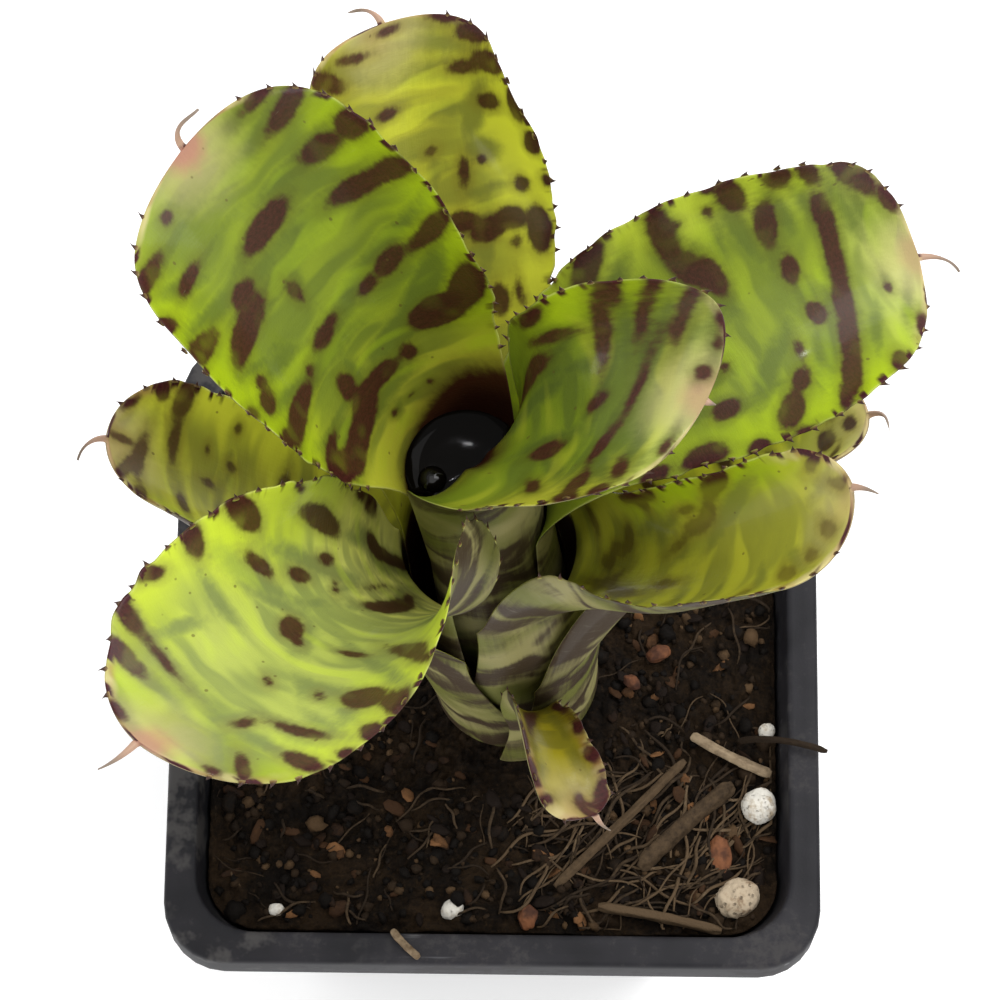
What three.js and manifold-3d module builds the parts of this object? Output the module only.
// A young tank bromeliad in a 9 cm square nursery pot, in millimetres, +Z up.
// The origin is the centre of the pot's underside. +Y points to the back of the plant, +X to its right.
// Every leaf is one solid: its sheath is one layer of the tube, and its blade spreads from it.
import * as THREE from "three";
import { mergeVertices } from "three/addons/utils/BufferGeometryUtils.js";
import Module from "manifold-3d";

const wasm = await Module();
wasm.setup();

// Pot
const RIM_SIDE = 90;
const RIM_CORNER = 8.5;
const RIM_WIDTH = 4.4;
const POT_HEIGHT = 80;
const BASE_SIDE = 60;
const BASE_CORNER = 6;
const WALL = 1.2;
const LIP_DEPTH = 7;
const FLOOR = 1.6;
const DRAIN_RADIUS = 3.5;
const DRAIN_OFFSET = 17;
const CORNER_STEPS = 4;

// Growing mix
const SOIL_LEVEL = 74;
const SOIL_BUMP = 1.3;
const SOIL_CELLS = 22;
const CLEAR = 0.3;

// Plant axis: it leans back and to the left as it rises
const PLANT_X = 3.5;
const PLANT_Y = -7;
const LEAN_BACK = 6;
const LEAN_LEFT = 5;

// Tube of sheaths: each leaf is one layer further out, and joins the stem one step lower
const LAYER = 1.0;
const LAYER_STEP = 1.5;
const OUTER_LAYER = 8;
const TUBE_HEIGHTS = [0, 10, 20, 32, 45, 55, 65, 80, 95];
const TUBE_RADII = [4.2, 4.4, 4.8, 6.2, 7.3, 7, 6.8, 7.3, 8];
const STEM_RADIUS = 3.5;
const STEM_DEPTH = 14;
const WATER_LEVEL = 155;
const WATER_BOTTOM = 24;

// Blades
const SHEET = 0.6;
const RIB_EXTRA = 0.2;
const ROWS_BLADE = 13;
const ROWS_SPINE = 2;
const COLUMNS = 12;
const TOOTH_LENGTH = 1.0;
const TOOTH_SHARE = 0.34;
const SPINE_HALF_WIDTH = 0.7;

// One entry for each leaf, from the inside out, with angles in degrees.
// azimuth runs from +X towards +Y, and lean from the tube's axis, at the blade's root and at its tip.
// flare is the height on the tube where the blade leaves it.
// widest is the share of the blade's length at which it is widest.
// cup and tipCup are the radii that the blade is rolled to. roll tips it sideways, and sweep moves its tip.
// hold and wrap are how far round the tube each half of the sheath reaches, at its foot and at the flare.
// holdUneven and uneven are the share of the half width by which they sit to one side of the midrib.
const LEAVES = [
  {
    name: "leaf_back_left", layer: 0, azimuth: 145.5, flare: 77, length: 58.5, width: 45,
    lean: 7, tipLean: 65, bend: 1.3, widest: 0.7, cup: 15.3, tipCup: 18.5, roll: -17, sweep: -1.7,
    hold: 86, wrap: 86, holdUneven: -0.28, uneven: 0.02, spine: 5, spineCurl: -20, spineSide: -50,
  },
  {
    name: "leaf_right_inner", layer: 1, azimuth: -29, flare: 87.5, length: 28.5, width: 34.5,
    lean: 7, tipLean: 90, bend: 1.15, widest: 0.76, cup: 12, tipCup: 14.6, roll: 17.5, sweep: 12,
    hold: 92, wrap: 92, holdUneven: -0.24, uneven: 0.13, spine: 1.2, spineCurl: 20, spineSide: 20,
  },
  {
    name: "leaf_back_right", layer: 2, azimuth: 29, flare: 69.5, length: 60, width: 36.5,
    lean: 10, tipLean: 113, bend: 0.62, widest: 0.6, cup: 25.7, tipCup: 14.9, roll: 29.5, sweep: -4,
    hold: 112, wrap: 64, holdUneven: 0, uneven: 0.05, spine: 6, spineCurl: 60, spineSide: -50,
  },
  {
    name: "leaf_back", layer: 3, azimuth: 110, flare: 66, length: 56.5, width: 45,
    lean: 25, tipLean: 56.5, bend: 0.65, widest: 0.67, cup: 26.7, tipCup: 11.3, roll: 6, sweep: -8,
    hold: 112, wrap: 75, holdUneven: 0, uneven: 0.05, spine: 5, spineCurl: -60, spineSide: 60,
  },
  {
    name: "leaf_front_left", layer: 4, azimuth: 236, flare: 61, length: 71, width: 45,
    lean: 22, tipLean: 74, bend: 1.6, widest: 0.48, cup: 10.2, tipCup: 38, roll: -13, sweep: -2.5,
    hold: 72, wrap: 38, holdUneven: -0.65, uneven: 0.2, spine: 6, spineCurl: -40, spineSide: -10,
  },
  {
    name: "leaf_front_right", layer: 5, azimuth: -20.6, flare: 58, length: 54, width: 23.6,
    lean: 30, tipLean: 45, bend: 0.42, widest: 0.8, cup: 7.2, tipCup: 9, roll: 42, sweep: 6,
    hold: 110, wrap: 74, holdUneven: 0, uneven: -0.32, spine: 4.5, spineCurl: 50, spineSide: -20,
  },
  {
    name: "leaf_left", layer: 6, azimuth: 178.8, flare: 50, length: 46.8, width: 25,
    lean: 33, tipLean: 48, bend: 0.7, widest: 0.7, cup: 19, tipCup: 11.1, roll: 4.5, sweep: -3,
    hold: 110, wrap: 78, holdUneven: 0, uneven: 0.07, spine: 5, spineCurl: -20, spineSide: 35,
  },
  {
    name: "leaf_right_outer", layer: 7, azimuth: 9, flare: 39, length: 47.5, width: 25,
    lean: 36, tipLean: 64, bend: 0.95, widest: 0.67, cup: 10.2, tipCup: 8.1, roll: -13, sweep: 4.2,
    hold: 108, wrap: 78, holdUneven: 0, uneven: -0.08, spine: 5, spineCurl: 50, spineSide: -60,
  },
  {
    name: "leaf_front_small", layer: 8, azimuth: -70.5, flare: 29, length: 30, width: 11.5,
    lean: 8, tipLean: 125, bend: 1.5, widest: 0.8, cup: 4, tipCup: 9, roll: -14, sweep: 2,
    hold: 34, wrap: 16, holdUneven: 0, uneven: -0.35, spine: 3, spineCurl: 20, spineSide: 10,
  },
];

// Loose pieces of the mix: centre, half sizes and turn in degrees. Each lies half sunk in a bed of its own.
const LUMPS = [
  {
    name: "perlite_right", at: [36.8, -21.4], half: [2.7, 2.7, 2.5],
    turn: 0, lift: 1.9, colour: 0xcfc8bb,
  },
  {
    name: "perlite_small", at: [38.1, -10.4], half: [1.3, 1.2, 1.1],
    turn: 20, lift: 1, colour: 0xc9c0b0,
  },
  {
    name: "perlite_front", at: [-5.5, -36.3], half: [1.8, 1.5, 1.3],
    turn: 30, lift: 1, colour: 0xb5a48c,
  },
  {
    name: "perlite_left", at: [-29.8, -36.6], half: [1.2, 1, 0.9],
    turn: 10, lift: 0.9, colour: 0xa89a86,
  },
  {
    name: "pumice_front_right", at: [33.8, -34.4], half: [3.4, 2.8, 2.2],
    turn: 25, lift: 1.6, colour: 0xab9576,
  },
  {
    name: "bark_chip_right", at: [31.4, -28.1], half: [1.8, 3.2, 1.2],
    turn: 5, lift: 1.1, colour: 0x6b3f26,
  },
  {
    name: "bark_chip_front", at: [4.9, -37.2], half: [1.5, 2, 1],
    turn: -10, lift: 0.9, colour: 0x5b3d28,
  },
  {
    name: "bark_chip_back", at: [22.9, 0.6], half: [2, 1.3, 1.1],
    turn: 20, lift: 0.9, colour: 0x5a2c1e,
  },
  {
    name: "bark_chip_middle", at: [19.2, -3.6], half: [1.5, 1.1, 0.9],
    turn: -30, lift: 0.9, colour: 0x4f2a1d,
  },
  {
    name: "bark_chip_left", at: [-31, -14], half: [2.6, 1.7, 1.2],
    turn: 50, lift: 0.9, colour: 0x4b3121,
  },
  {
    name: "bark_chip_far", at: [-16, 29], half: [2.4, 1.8, 1.3],
    turn: -20, lift: 0.9, colour: 0x4b3121,
  },
];

// Sticks of the mix as paths of [x, y, height above the mix's level], with their radius.
const STICKS = [
  {
    name: "stick_pale", path: [[27.6, -11.2, 1], [33.5, -14.6, 1.6], [38.6, -16.7, 1.1]],
    radius: 0.8, colour: 0x8a7a68,
  },
  {
    name: "stick_long", path: [[26.6, -14.8, 1], [18, -23.6, 1.4], [8.6, -32.9, 0.9]],
    radius: 0.7, colour: 0x4c3423,
  },
  {
    name: "stick_thick", path: [[33.2, -18.2, 1.2], [27, -23.6, 1.5], [20.3, -30.2, 1.1]],
    radius: 1.3, colour: 0x453223,
  },
  {
    name: "stick_front", path: [[14.6, -35.6, 1], [24, -37.2, 1.3], [31.6, -39, 1.6]],
    radius: 0.8, colour: 0x5a4431,
  },
  {
    name: "stick_over_rim", path: [[33.9, -12, 0.5], [40.3, -13.3, 7], [46, -14.7, 7.1]],
    radius: 0.5, colour: 0x3c3029,
  },
  {
    name: "flake_on_rim", path: [[-13.6, -40.4, 6.75], [-12, -42.3, 6.8], [-9.8, -44.2, 6.75]],
    radius: 0.55, colour: 0x7d6c58,
  },
];

const degrees = THREE.MathUtils.degToRad;
const smooth = (x) => THREE.MathUtils.smoothstep(x, 0, 1);

// Straight lines between the listed stations.
function along(stations, values, x) {
  let i = 1;
  while (i < stations.length - 1 && x > stations[i]) i += 1;
  const share = THREE.MathUtils.clamp((x - stations[i - 1]) / (stations[i] - stations[i - 1]), 0, 1);
  return values[i - 1] + (values[i] - values[i - 1]) * share;
}

// A repeatable value from 0 to 1 for two whole numbers.
function hash(i, j) {
  const s = Math.sin(i * 127.1 + j * 311.7 + 17.3) * 43758.5453;
  return s - Math.floor(s);
}

// Smooth noise from -1 to 1 over the plane.
function noise(x, y) {
  const i = Math.floor(x);
  const j = Math.floor(y);
  const u = smooth(x - i);
  const v = smooth(y - j);
  const low = hash(i, j) * (1 - u) + hash(i + 1, j) * u;
  const high = hash(i, j + 1) * (1 - u) + hash(i + 1, j + 1) * u;
  return 2 * (low * (1 - v) + high * v) - 1;
}

// A closed geometry as a solid, whichever way its faces point.
function solid(geometry) {
  const bare = new THREE.BufferGeometry();
  bare.setAttribute("position", geometry.getAttribute("position").clone());
  bare.setIndex(geometry.index);
  const merged = mergeVertices(bare, 1e-4);
  const vertProperties = merged.attributes.position.array;
  const triVerts = new Uint32Array(merged.index.array);
  const made = new wasm.Manifold(new wasm.Mesh({ numProp: 3, vertProperties, triVerts }));
  if (made.volume() > 0) return made;
  for (let i = 0; i < triVerts.length; i += 3) {
    [triVerts[i + 1], triVerts[i + 2]] = [triVerts[i + 2], triVerts[i + 1]];
  }
  return new wasm.Manifold(new wasm.Mesh({ numProp: 3, vertProperties, triVerts }));
}

// A solid as a geometry again.
function geometryOf(body) {
  const mesh = body.getMesh();
  const positions = new Float32Array(mesh.numVert * 3);
  for (let i = 0; i < mesh.numVert; i += 1) {
    positions.set(mesh.vertProperties.subarray(i * mesh.numProp, i * mesh.numProp + 3), i * 3);
  }
  const geometry = new THREE.BufferGeometry();
  geometry.setAttribute("position", new THREE.BufferAttribute(positions, 3));
  geometry.setIndex(new THREE.BufferAttribute(mesh.triVerts, 1));
  return geometry;
}

// Points and triangles as a geometry.
function shell(points, triangles) {
  const geometry = new THREE.BufferGeometry().setFromPoints(points);
  geometry.setIndex(triangles);
  return geometry;
}

// A square with round corners at one height, as a ring of points.
function squareRing(side, corner, height) {
  const half = side / 2 - corner;
  const ring = [];
  for (let q = 0; q < 4; q += 1) {
    const turn = (q * Math.PI) / 2;
    const cx = half * (q === 0 || q === 3 ? 1 : -1);
    const cy = half * (q < 2 ? 1 : -1);
    for (let i = 0; i <= CORNER_STEPS; i += 1) {
      const a = turn + ((i / CORNER_STEPS) * Math.PI) / 2;
      ring.push(new THREE.Vector3(cx + corner * Math.cos(a), cy + corner * Math.sin(a), height));
    }
  }
  return ring;
}

// Rings of equal count joined one after another and closed at both ends with a fan.
function loft(rings) {
  const count = rings[0].length;
  const points = rings.flat();
  const triangles = [];
  for (let r = 0; r + 1 < rings.length; r += 1) {
    for (let i = 0; i < count; i += 1) {
      const a = r * count + i;
      const b = r * count + ((i + 1) % count);
      triangles.push(a, b, b + count, a, b + count, a + count);
    }
  }
  for (const [ring, flip] of [[0, true], [rings.length - 1, false]]) {
    const centre = rings[ring].reduce((sum, p) => sum.add(p), new THREE.Vector3()).divideScalar(count);
    points.push(centre);
    for (let i = 0; i < count; i += 1) {
      const a = ring * count + i;
      const b = ring * count + ((i + 1) % count);
      triangles.push(...(flip ? [points.length - 1, b, a] : [points.length - 1, a, b]));
    }
  }
  return shell(points, triangles);
}

// Side of the pot's inner wall at a height.
function innerSide(z) {
  const top = RIM_SIDE - 2 * RIM_WIDTH;
  const bottom = BASE_SIDE - 2 * WALL;
  return bottom + ((top - bottom) * z) / POT_HEIGHT;
}

function makePot() {
  const inner = RIM_SIDE - 2 * RIM_WIDTH;
  const corner = RIM_CORNER - 0.5;
  const under = POT_HEIGHT - WALL;
  const rings = [
    squareRing(BASE_SIDE, BASE_CORNER, 0),
    squareRing(innerSide(under) + 2 * WALL, corner, under),
    squareRing(RIM_SIDE - 2 * WALL, RIM_CORNER - WALL, under),
    squareRing(RIM_SIDE - 2 * WALL, RIM_CORNER - WALL, POT_HEIGHT - LIP_DEPTH),
    squareRing(RIM_SIDE, RIM_CORNER, POT_HEIGHT - LIP_DEPTH),
    squareRing(RIM_SIDE, RIM_CORNER, POT_HEIGHT - 0.6),
    squareRing(RIM_SIDE - 1.2, RIM_CORNER - 0.6, POT_HEIGHT),
    squareRing(inner + 0.8, corner + 0.4, POT_HEIGHT),
    squareRing(inner, corner, POT_HEIGHT - 0.5),
    squareRing(innerSide(FLOOR), BASE_CORNER - WALL, FLOOR),
  ];
  let pot = solid(loft(rings));
  const drain = new THREE.CylinderGeometry(DRAIN_RADIUS, DRAIN_RADIUS, 4 * FLOOR, 16).rotateX(Math.PI / 2);
  for (const sx of [-1, 1]) {
    for (const sy of [-1, 1]) {
      pot = pot.subtract(solid(drain.clone().translate(sx * DRAIN_OFFSET, sy * DRAIN_OFFSET, FLOOR / 2)));
    }
  }
  return pot;
}

// Height of the mix at a place: lumps that die out towards the plant.
function soilHeight(x, y) {
  const away = smooth((Math.hypot(x - PLANT_X, y - PLANT_Y) - 8) / 8);
  const lumps = 0.6 * noise(x / 7, y / 7) + 0.4 * noise(x / 3.3 + 9, y / 3.3 + 4);
  return SOIL_LEVEL + away * SOIL_BUMP * lumps;
}

// The mix is a block with tapering sides, topped by the height above on a grid.
function makeSoil() {
  const floor = FLOOR + CLEAR;
  const block = solid(loft([
    squareRing(innerSide(floor) - 2 * CLEAR, BASE_CORNER - WALL, floor),
    squareRing(innerSide(POT_HEIGHT - 1) - 2 * CLEAR, RIM_CORNER - 1, POT_HEIGHT - 1),
  ]));
  const half = RIM_SIDE / 2;
  const points = [];
  const triangles = [];
  const n = SOIL_CELLS + 1;
  for (const top of [true, false]) {
    for (let j = 0; j < n; j += 1) {
      for (let i = 0; i < n; i += 1) {
        const x = -half + (RIM_SIDE * i) / SOIL_CELLS;
        const y = -half + (RIM_SIDE * j) / SOIL_CELLS;
        points.push(new THREE.Vector3(x, y, top ? POT_HEIGHT + 5 : soilHeight(x, y)));
      }
    }
  }
  const at = (layer, i, j) => layer * n * n + j * n + i;
  const quad = (a, b, c, d) => triangles.push(a, b, c, a, c, d);
  for (let j = 0; j < SOIL_CELLS; j += 1) {
    for (let i = 0; i < SOIL_CELLS; i += 1) {
      quad(at(0, i, j), at(0, i + 1, j), at(0, i + 1, j + 1), at(0, i, j + 1));
      quad(at(1, i, j), at(1, i, j + 1), at(1, i + 1, j + 1), at(1, i + 1, j));
    }
  }
  for (let i = 0; i < SOIL_CELLS; i += 1) {
    quad(at(1, i, 0), at(1, i + 1, 0), at(0, i + 1, 0), at(0, i, 0));
    quad(at(0, i, SOIL_CELLS), at(0, i + 1, SOIL_CELLS), at(1, i + 1, SOIL_CELLS), at(1, i, SOIL_CELLS));
    quad(at(0, 0, i), at(0, 0, i + 1), at(1, 0, i + 1), at(1, 0, i));
    quad(at(1, SOIL_CELLS, i), at(1, SOIL_CELLS, i + 1), at(0, SOIL_CELLS, i + 1), at(0, SOIL_CELLS, i));
  }
  return block.subtract(solid(shell(points, triangles)));
}

// A lump with an uneven surface, grown evenly by a margin.
function lump({ at, half, turn, lift }, seed, margin = 0) {
  const ball = new THREE.IcosahedronGeometry(1, 1);
  const spots = ball.getAttribute("position");
  const p = new THREE.Vector3();
  for (let i = 0; i < spots.count; i += 1) {
    p.fromBufferAttribute(spots, i);
    const uneven = 0.86 + 0.14 * noise(p.x * 1.7 + seed, p.y * 1.7 + p.z * 2.3);
    const [a, b, c] = half.map((h) => h * uneven + margin);
    spots.setXYZ(i, p.x * a, p.y * b, p.z * c);
  }
  return solid(ball.rotateZ(degrees(turn)).translate(at[0], at[1], SOIL_LEVEL + lift));
}

// A stick along a smooth path: seven rings of six points, each a little out of round.
function stick({ path, radius }, seed, margin = 0) {
  const way = new THREE.CatmullRomCurve3(path.map(([x, y, up]) => new THREE.Vector3(x, y, SOIL_LEVEL + up)));
  const rings = [];
  for (let i = 0; i <= 6; i += 1) {
    const ahead = way.getTangentAt(i / 6);
    const end = way.getPointAt(i / 6).addScaledVector(ahead, i === 0 ? -margin : i === 6 ? margin : 0);
    const side = new THREE.Vector3(0, 0, 1).cross(ahead).normalize();
    const up = new THREE.Vector3().crossVectors(ahead, side);
    const wide = radius * (i % 6 ? 0.88 + 0.12 * hash(seed, i) : 0.7) + margin * 1.2;
    const over = (a) => end.clone().addScaledVector(up, wide * Math.sin(a));
    const corner = (a) => over(a).addScaledVector(side, wide * Math.cos(a));
    rings.push([0, 1, 2, 3, 4, 5].map((k) => corner((k * Math.PI) / 3)));
  }
  return solid(loft(rings));
}

// The plant's own frame: its base on the mix, its leaning axis, and two directions across it.
const BASE = new THREE.Vector3(PLANT_X, PLANT_Y, SOIL_LEVEL);
const AXIS = new THREE.Vector3(-Math.tan(degrees(LEAN_LEFT)), Math.tan(degrees(LEAN_BACK)), 1).normalize();
const ACROSS = new THREE.Vector3(1, 0, 0).addScaledVector(AXIS, -AXIS.x).normalize();
const BACKWARD = new THREE.Vector3().crossVectors(AXIS, ACROSS);

const outward = (a) => ACROSS.clone().multiplyScalar(Math.cos(a)).addScaledVector(BACKWARD, Math.sin(a));

// Where a leaf of a layer joins the stem.
const joinHeight = (layer) => (OUTER_LAYER - layer) * LAYER_STEP + 0.5;

// Radius of a layer's sheath at a height: the inner tube, plus the layers that lie inside it there.
function sheathRadius(layer, h) {
  const inside = THREE.MathUtils.clamp((h - joinHeight(layer)) / LAYER_STEP, 0, layer);
  return along(TUBE_HEIGHTS, TUBE_RADII, h) + LAYER * inside;
}

// The stations of a leaf from its base to the end of its spine. Each has the midrib's radius, height and
// sideways offset, the half width, the curvature that the section is rolled to, its lean and its roll.
function stations(leaf) {
  const list = [];
  const start = joinHeight(leaf.layer);
  const past = start + Math.max(1, leaf.layer) * LAYER_STEP;
  const bends = TUBE_HEIGHTS.filter((h) => h > past + 1 && h < leaf.flare - 1);
  for (const h of [start, past, ...bends]) {
    const radius = sheathRadius(leaf.layer, h);
    const wrap = leaf.hold + (leaf.wrap - leaf.hold) * smooth((h - start) / (leaf.flare - start));
    const half = radius * degrees(wrap);
    const uneven = leaf.holdUneven;
    list.push({ radius, height: h, half, offset: 0, curve: 1 / radius, uneven, lean: 0, roll: 0 });
  }
  const first = sheathRadius(leaf.layer, leaf.flare);
  let radius = first;
  let height = leaf.flare;
  let before = 0;
  const FINE = 8;
  for (let i = 0; i <= ROWS_BLADE * FINE; i += 1) {
    const u = 1 - (1 - i / (ROWS_BLADE * FINE)) ** 1.5;
    const middle = (u + before) / 2;
    const slope = degrees(leaf.lean + (leaf.tipLean - leaf.lean) * middle ** leaf.bend);
    radius += Math.sin(slope) * (u - before) * leaf.length;
    height += Math.cos(slope) * (u - before) * leaf.length;
    before = u;
    if (i % FINE) continue;
    const wide = leaf.width / 2;
    const root = first * degrees(leaf.wrap);
    const beyond = Math.max(0, (u - leaf.widest) / (1 - leaf.widest));
    const grown = root + (wide - root) * smooth(u / leaf.widest);
    const rim = u < leaf.widest ? grown : wide * Math.sqrt(1 - beyond ** 2.3);
    const opened = 1 / first + (1 / leaf.cup - 1 / first) * smooth(u / 0.35);
    const rolled = 1 / leaf.cup + (1 / leaf.tipCup - 1 / leaf.cup) * smooth((u - 0.35) / 0.65);
    const curve = u < 0.35 ? opened : rolled;
    const slopeHere = degrees(leaf.lean + (leaf.tipLean - leaf.lean) * u ** leaf.bend);
    list.push({
      radius, height, curve, u,
      offset: leaf.sweep * u * u,
      uneven: leaf.holdUneven + (leaf.uneven - leaf.holdUneven) * smooth(u / 0.35),
      half: Math.hypot(rim, SPINE_HALF_WIDTH * smooth((u - 0.9) / 0.1)),
      lean: slopeHere * smooth(u / 0.25),
      roll: degrees(leaf.roll) * smooth(u / 0.6),
      tooth: u > 0.08 && u < 0.97,
    });
  }
  const tip = list[list.length - 1];
  const last = { ...tip };
  for (let i = 1; i <= ROWS_SPINE; i += 1) {
    const share = i / ROWS_SPINE;
    const slope = degrees(leaf.tipLean + leaf.spineCurl * share);
    const side = degrees(leaf.spineSide) * share;
    last.radius += (Math.sin(slope) * Math.cos(side) * leaf.spine) / ROWS_SPINE;
    last.height += (Math.cos(slope) * Math.cos(side) * leaf.spine) / ROWS_SPINE;
    last.offset += (Math.sin(side) * leaf.spine) / ROWS_SPINE;
    const half = SPINE_HALF_WIDTH * (1 - 0.8 * share);
    list.push({ ...last, lean: slope, half, uneven: 0, tooth: false, spine: true });
  }
  return list;
}

// The middle surface of a leaf as rows of points, from one margin to the other.
function surface(leaf) {
  const rise = outward(degrees(leaf.azimuth));
  const beside = new THREE.Vector3().crossVectors(AXIS, rise);
  return stations(leaf).map((s) => {
    const middle = BASE.clone().addScaledVector(rise, s.radius).addScaledVector(AXIS, s.height);
    middle.addScaledVector(beside, s.offset);
    const inward = rise.clone().multiplyScalar(-Math.cos(s.lean)).addScaledVector(AXIS, Math.sin(s.lean));
    const cos = Math.cos(s.roll);
    const sin = Math.sin(s.roll);
    const lateral = beside.clone().multiplyScalar(cos).addScaledVector(inward, sin);
    const facing = inward.clone().multiplyScalar(cos).addScaledVector(beside, -sin);
    const row = [];
    for (let j = 0; j <= COLUMNS; j += 1) {
      const turn = s.half * s.curve * ((2 * j) / COLUMNS - 1 + s.uneven);
      const point = middle.clone().addScaledVector(lateral, Math.sin(turn) / s.curve);
      row.push(point.addScaledVector(facing, (1 - Math.cos(turn)) / s.curve));
    }
    return { row, tooth: s.tooth, spine: s.spine, u: s.u || 0 };
  });
}

// A leaf as a closed sheet: a face on either side of its middle surface.
// Each step of a blade's margin carries a tooth.
function makeLeaf(leaf) {
  const rows = surface(leaf);
  const count = rows.length;
  const points = [];
  const triangles = [];
  const faces = [[], []];
  const normalAt = (r, j) => {
    const a = rows[Math.max(0, r - 1)].row[j];
    const b = rows[Math.min(count - 1, r + 1)].row[j];
    const c = rows[r].row[Math.max(0, j - 1)];
    const d = rows[r].row[Math.min(COLUMNS, j + 1)];
    return new THREE.Vector3().subVectors(d, c).cross(new THREE.Vector3().subVectors(b, a)).normalize();
  };
  const normals = rows.map((_, r) => rows[r].row.map((__, j) => normalAt(r, j)));
  rows.forEach(({ row, spine }, r) => {
    row.forEach((p, j) => {
      const t = (2 * j) / COLUMNS - 1;
      const thick = (SHEET + (spine ? 0 : RIB_EXTRA * (1 - t * t) * smooth(rows[r].u / 0.3))) / 2;
      [1, -1].forEach((side, f) => {
        faces[f].push(points.length);
        points.push(p.clone().addScaledVector(normals[r][j], side * thick));
      });
    });
  });
  const at = (f, r, j) => faces[f][r * (COLUMNS + 1) + j];
  const face = (a, b, c, f) => triangles.push(...(f ? [a, c, b] : [a, b, c]));
  const between = (a, b, share) => {
    points.push(points[a].clone().lerp(points[b], share));
    return points.length - 1;
  };
  // Margin steps that carry a tooth get two more points on each face's edge.
  const extra = new Map();
  for (let r = 0; r + 1 < count; r += 1) {
    if (!rows[r].tooth || !rows[r + 1].tooth) continue;
    for (const j of [0, COLUMNS]) {
      const low = (1 - TOOTH_SHARE) / 2;
      const cuts = [0, 1].map((f) => [low, 1 - low].map((s) => between(at(f, r, j), at(f, r + 1, j), s)));
      extra.set(r * 1000 + j, cuts);
    }
  }
  for (let r = 0; r + 1 < count; r += 1) {
    for (let j = 0; j < COLUMNS; j += 1) {
      const margin = j === 0 ? 0 : COLUMNS;
      const cuts = (j === 0 || j === COLUMNS - 1) && extra.get(r * 1000 + margin);
      for (const f of [0, 1]) {
        const [a, b, c, d] = [at(f, r, j), at(f, r, j + 1), at(f, r + 1, j + 1), at(f, r + 1, j)];
        if (!cuts) {
          face(a, b, c, f);
          face(a, c, d, f);
        } else if (j === 0) {
          const [p, q] = cuts[f];
          face(b, p, a, f);
          face(b, q, p, f);
          face(b, c, q, f);
          face(c, d, q, f);
        } else {
          const [p, q] = cuts[f];
          face(a, b, p, f);
          face(a, p, q, f);
          face(a, q, d, f);
          face(d, q, c, f);
        }
      }
    }
    for (const j of [0, COLUMNS]) {
      const flip = j === 0 ? 0 : 1;
      const wall = (a, b, c, d) => {
        face(a, b, c, flip);
        face(a, c, d, flip);
      };
      const [a, b, c, d] = [at(0, r, j), at(0, r + 1, j), at(1, r + 1, j), at(1, r, j)];
      const cuts = extra.get(r * 1000 + j);
      if (!cuts) {
        wall(a, b, c, d);
        continue;
      }
      const [[p, q], [s, t]] = cuts;
      wall(a, p, s, d);
      wall(q, b, c, t);
      const mid = rows[r].row[j].clone().lerp(rows[r + 1].row[j], 0.5);
      const inner = j === 0 ? 1 : COLUMNS - 1;
      const away = mid.clone().sub(rows[r].row[inner].clone().lerp(rows[r + 1].row[inner], 0.5)).normalize();
      const forward = rows[r + 1].row[j].clone().sub(rows[r].row[j]).normalize();
      points.push(mid.addScaledVector(away, TOOTH_LENGTH).addScaledVector(forward, TOOTH_LENGTH * 0.35));
      const apex = points.length - 1;
      face(p, q, apex, flip);
      face(q, t, apex, flip);
      face(t, s, apex, flip);
      face(s, p, apex, flip);
    }
  }
  for (const [r, flip] of [[0, 0], [count - 1, 1]]) {
    for (let j = 0; j < COLUMNS; j += 1) {
      const [a, b, c, d] = [at(0, r, j), at(1, r, j), at(1, r, j + 1), at(0, r, j + 1)];
      face(a, b, c, flip);
      face(a, c, d, flip);
    }
  }
  return solid(shell(points, triangles));
}

// A lathe profile of [radius, height] pairs round the plant's axis.
function turned(profile, sides) {
  const lathe = new THREE.LatheGeometry(profile.map(([r, h]) => new THREE.Vector2(r, h)), sides);
  const upright = new THREE.Matrix4().makeBasis(ACROSS, AXIS, BACKWARD.clone().negate()).setPosition(BASE);
  return solid(lathe.applyMatrix4(upright));
}

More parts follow.
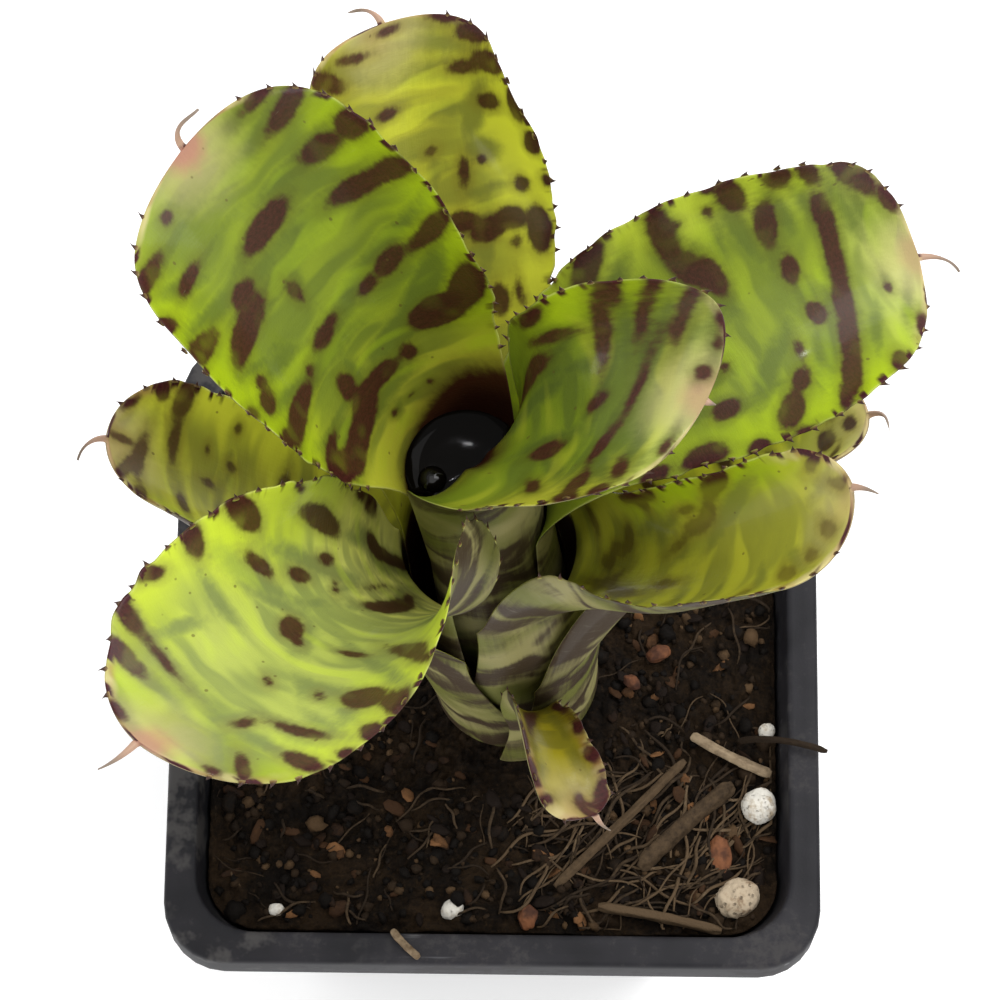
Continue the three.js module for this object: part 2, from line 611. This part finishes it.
// The short stem that every leaf joins. Its foot is sunk in the mix, and its crown ends inside the sheaths.
function makeStem() {
  const crown = joinHeight(0) + 3;
  return turned([
    [0, -STEM_DEPTH],
    [1.6, -STEM_DEPTH + 1],
    [STEM_RADIUS, -6],
    [STEM_RADIUS, crown - 4],
    [2.2, crown - 1],
    [0, crown],
  ], 16);
}

// Water that stands in the innermost sheath. Its body leans with the plant, and its surface is level.
function makeWater() {
  const inside = (h) => (sheathRadius(0, h) - SHEET / 2 - CLEAR) * Math.cos(Math.PI / 20) - 0.1;
  const wall = [WATER_BOTTOM, 34, 48, 60, 72, 90].map((h) => [inside(h), h]);
  return turned([[0, WATER_BOTTOM], ...wall, [0, 90]], 20).trimByPlane([0, 0, -1], -WATER_LEVEL);
}

const solids = { pot: makePot(), growing_mix: makeSoil(), stem: makeStem(), tank_water: makeWater() };
for (const leaf of LEAVES) solids[leaf.name] = makeLeaf(leaf);

const foot = STEM_RADIUS + CLEAR + 0.1;
const hole = turned([[0, -STEM_DEPTH - 1], [foot, -STEM_DEPTH - 1], [foot, 9], [0, 9]], 20);
solids.growing_mix = solids.growing_mix.subtract(hole);

const COLOURS = { pot: 0x1b1c20, growing_mix: 0x2a1d14, stem: 0x5b5140, tank_water: 0x0a0a0c };
const LEAF_COLOUR = 0x8fb32a;
const ROUGHNESS = { pot: 0.6, growing_mix: 0.95, tank_water: 0.05 };

for (const [list, make] of [[LUMPS, lump], [STICKS, stick]]) {
  list.forEach((piece, i) => {
    solids[piece.name] = make(piece, i + 1);
    solids.growing_mix = solids.growing_mix.subtract(make(piece, i + 1, CLEAR));
    COLOURS[piece.name] = piece.colour;
    ROUGHNESS[piece.name] = 0.9;
  });
}

const plant = new THREE.Group();
for (const [name, body] of Object.entries(solids)) {
  const color = COLOURS[name] ?? LEAF_COLOUR;
  const roughness = ROUGHNESS[name] ?? 0.5;
  const material = new THREE.MeshStandardMaterial({ color, roughness, metalness: 0 });
  const mesh = new THREE.Mesh(geometryOf(body), material);
  mesh.name = name;
  plant.add(mesh);
}

export default plant;
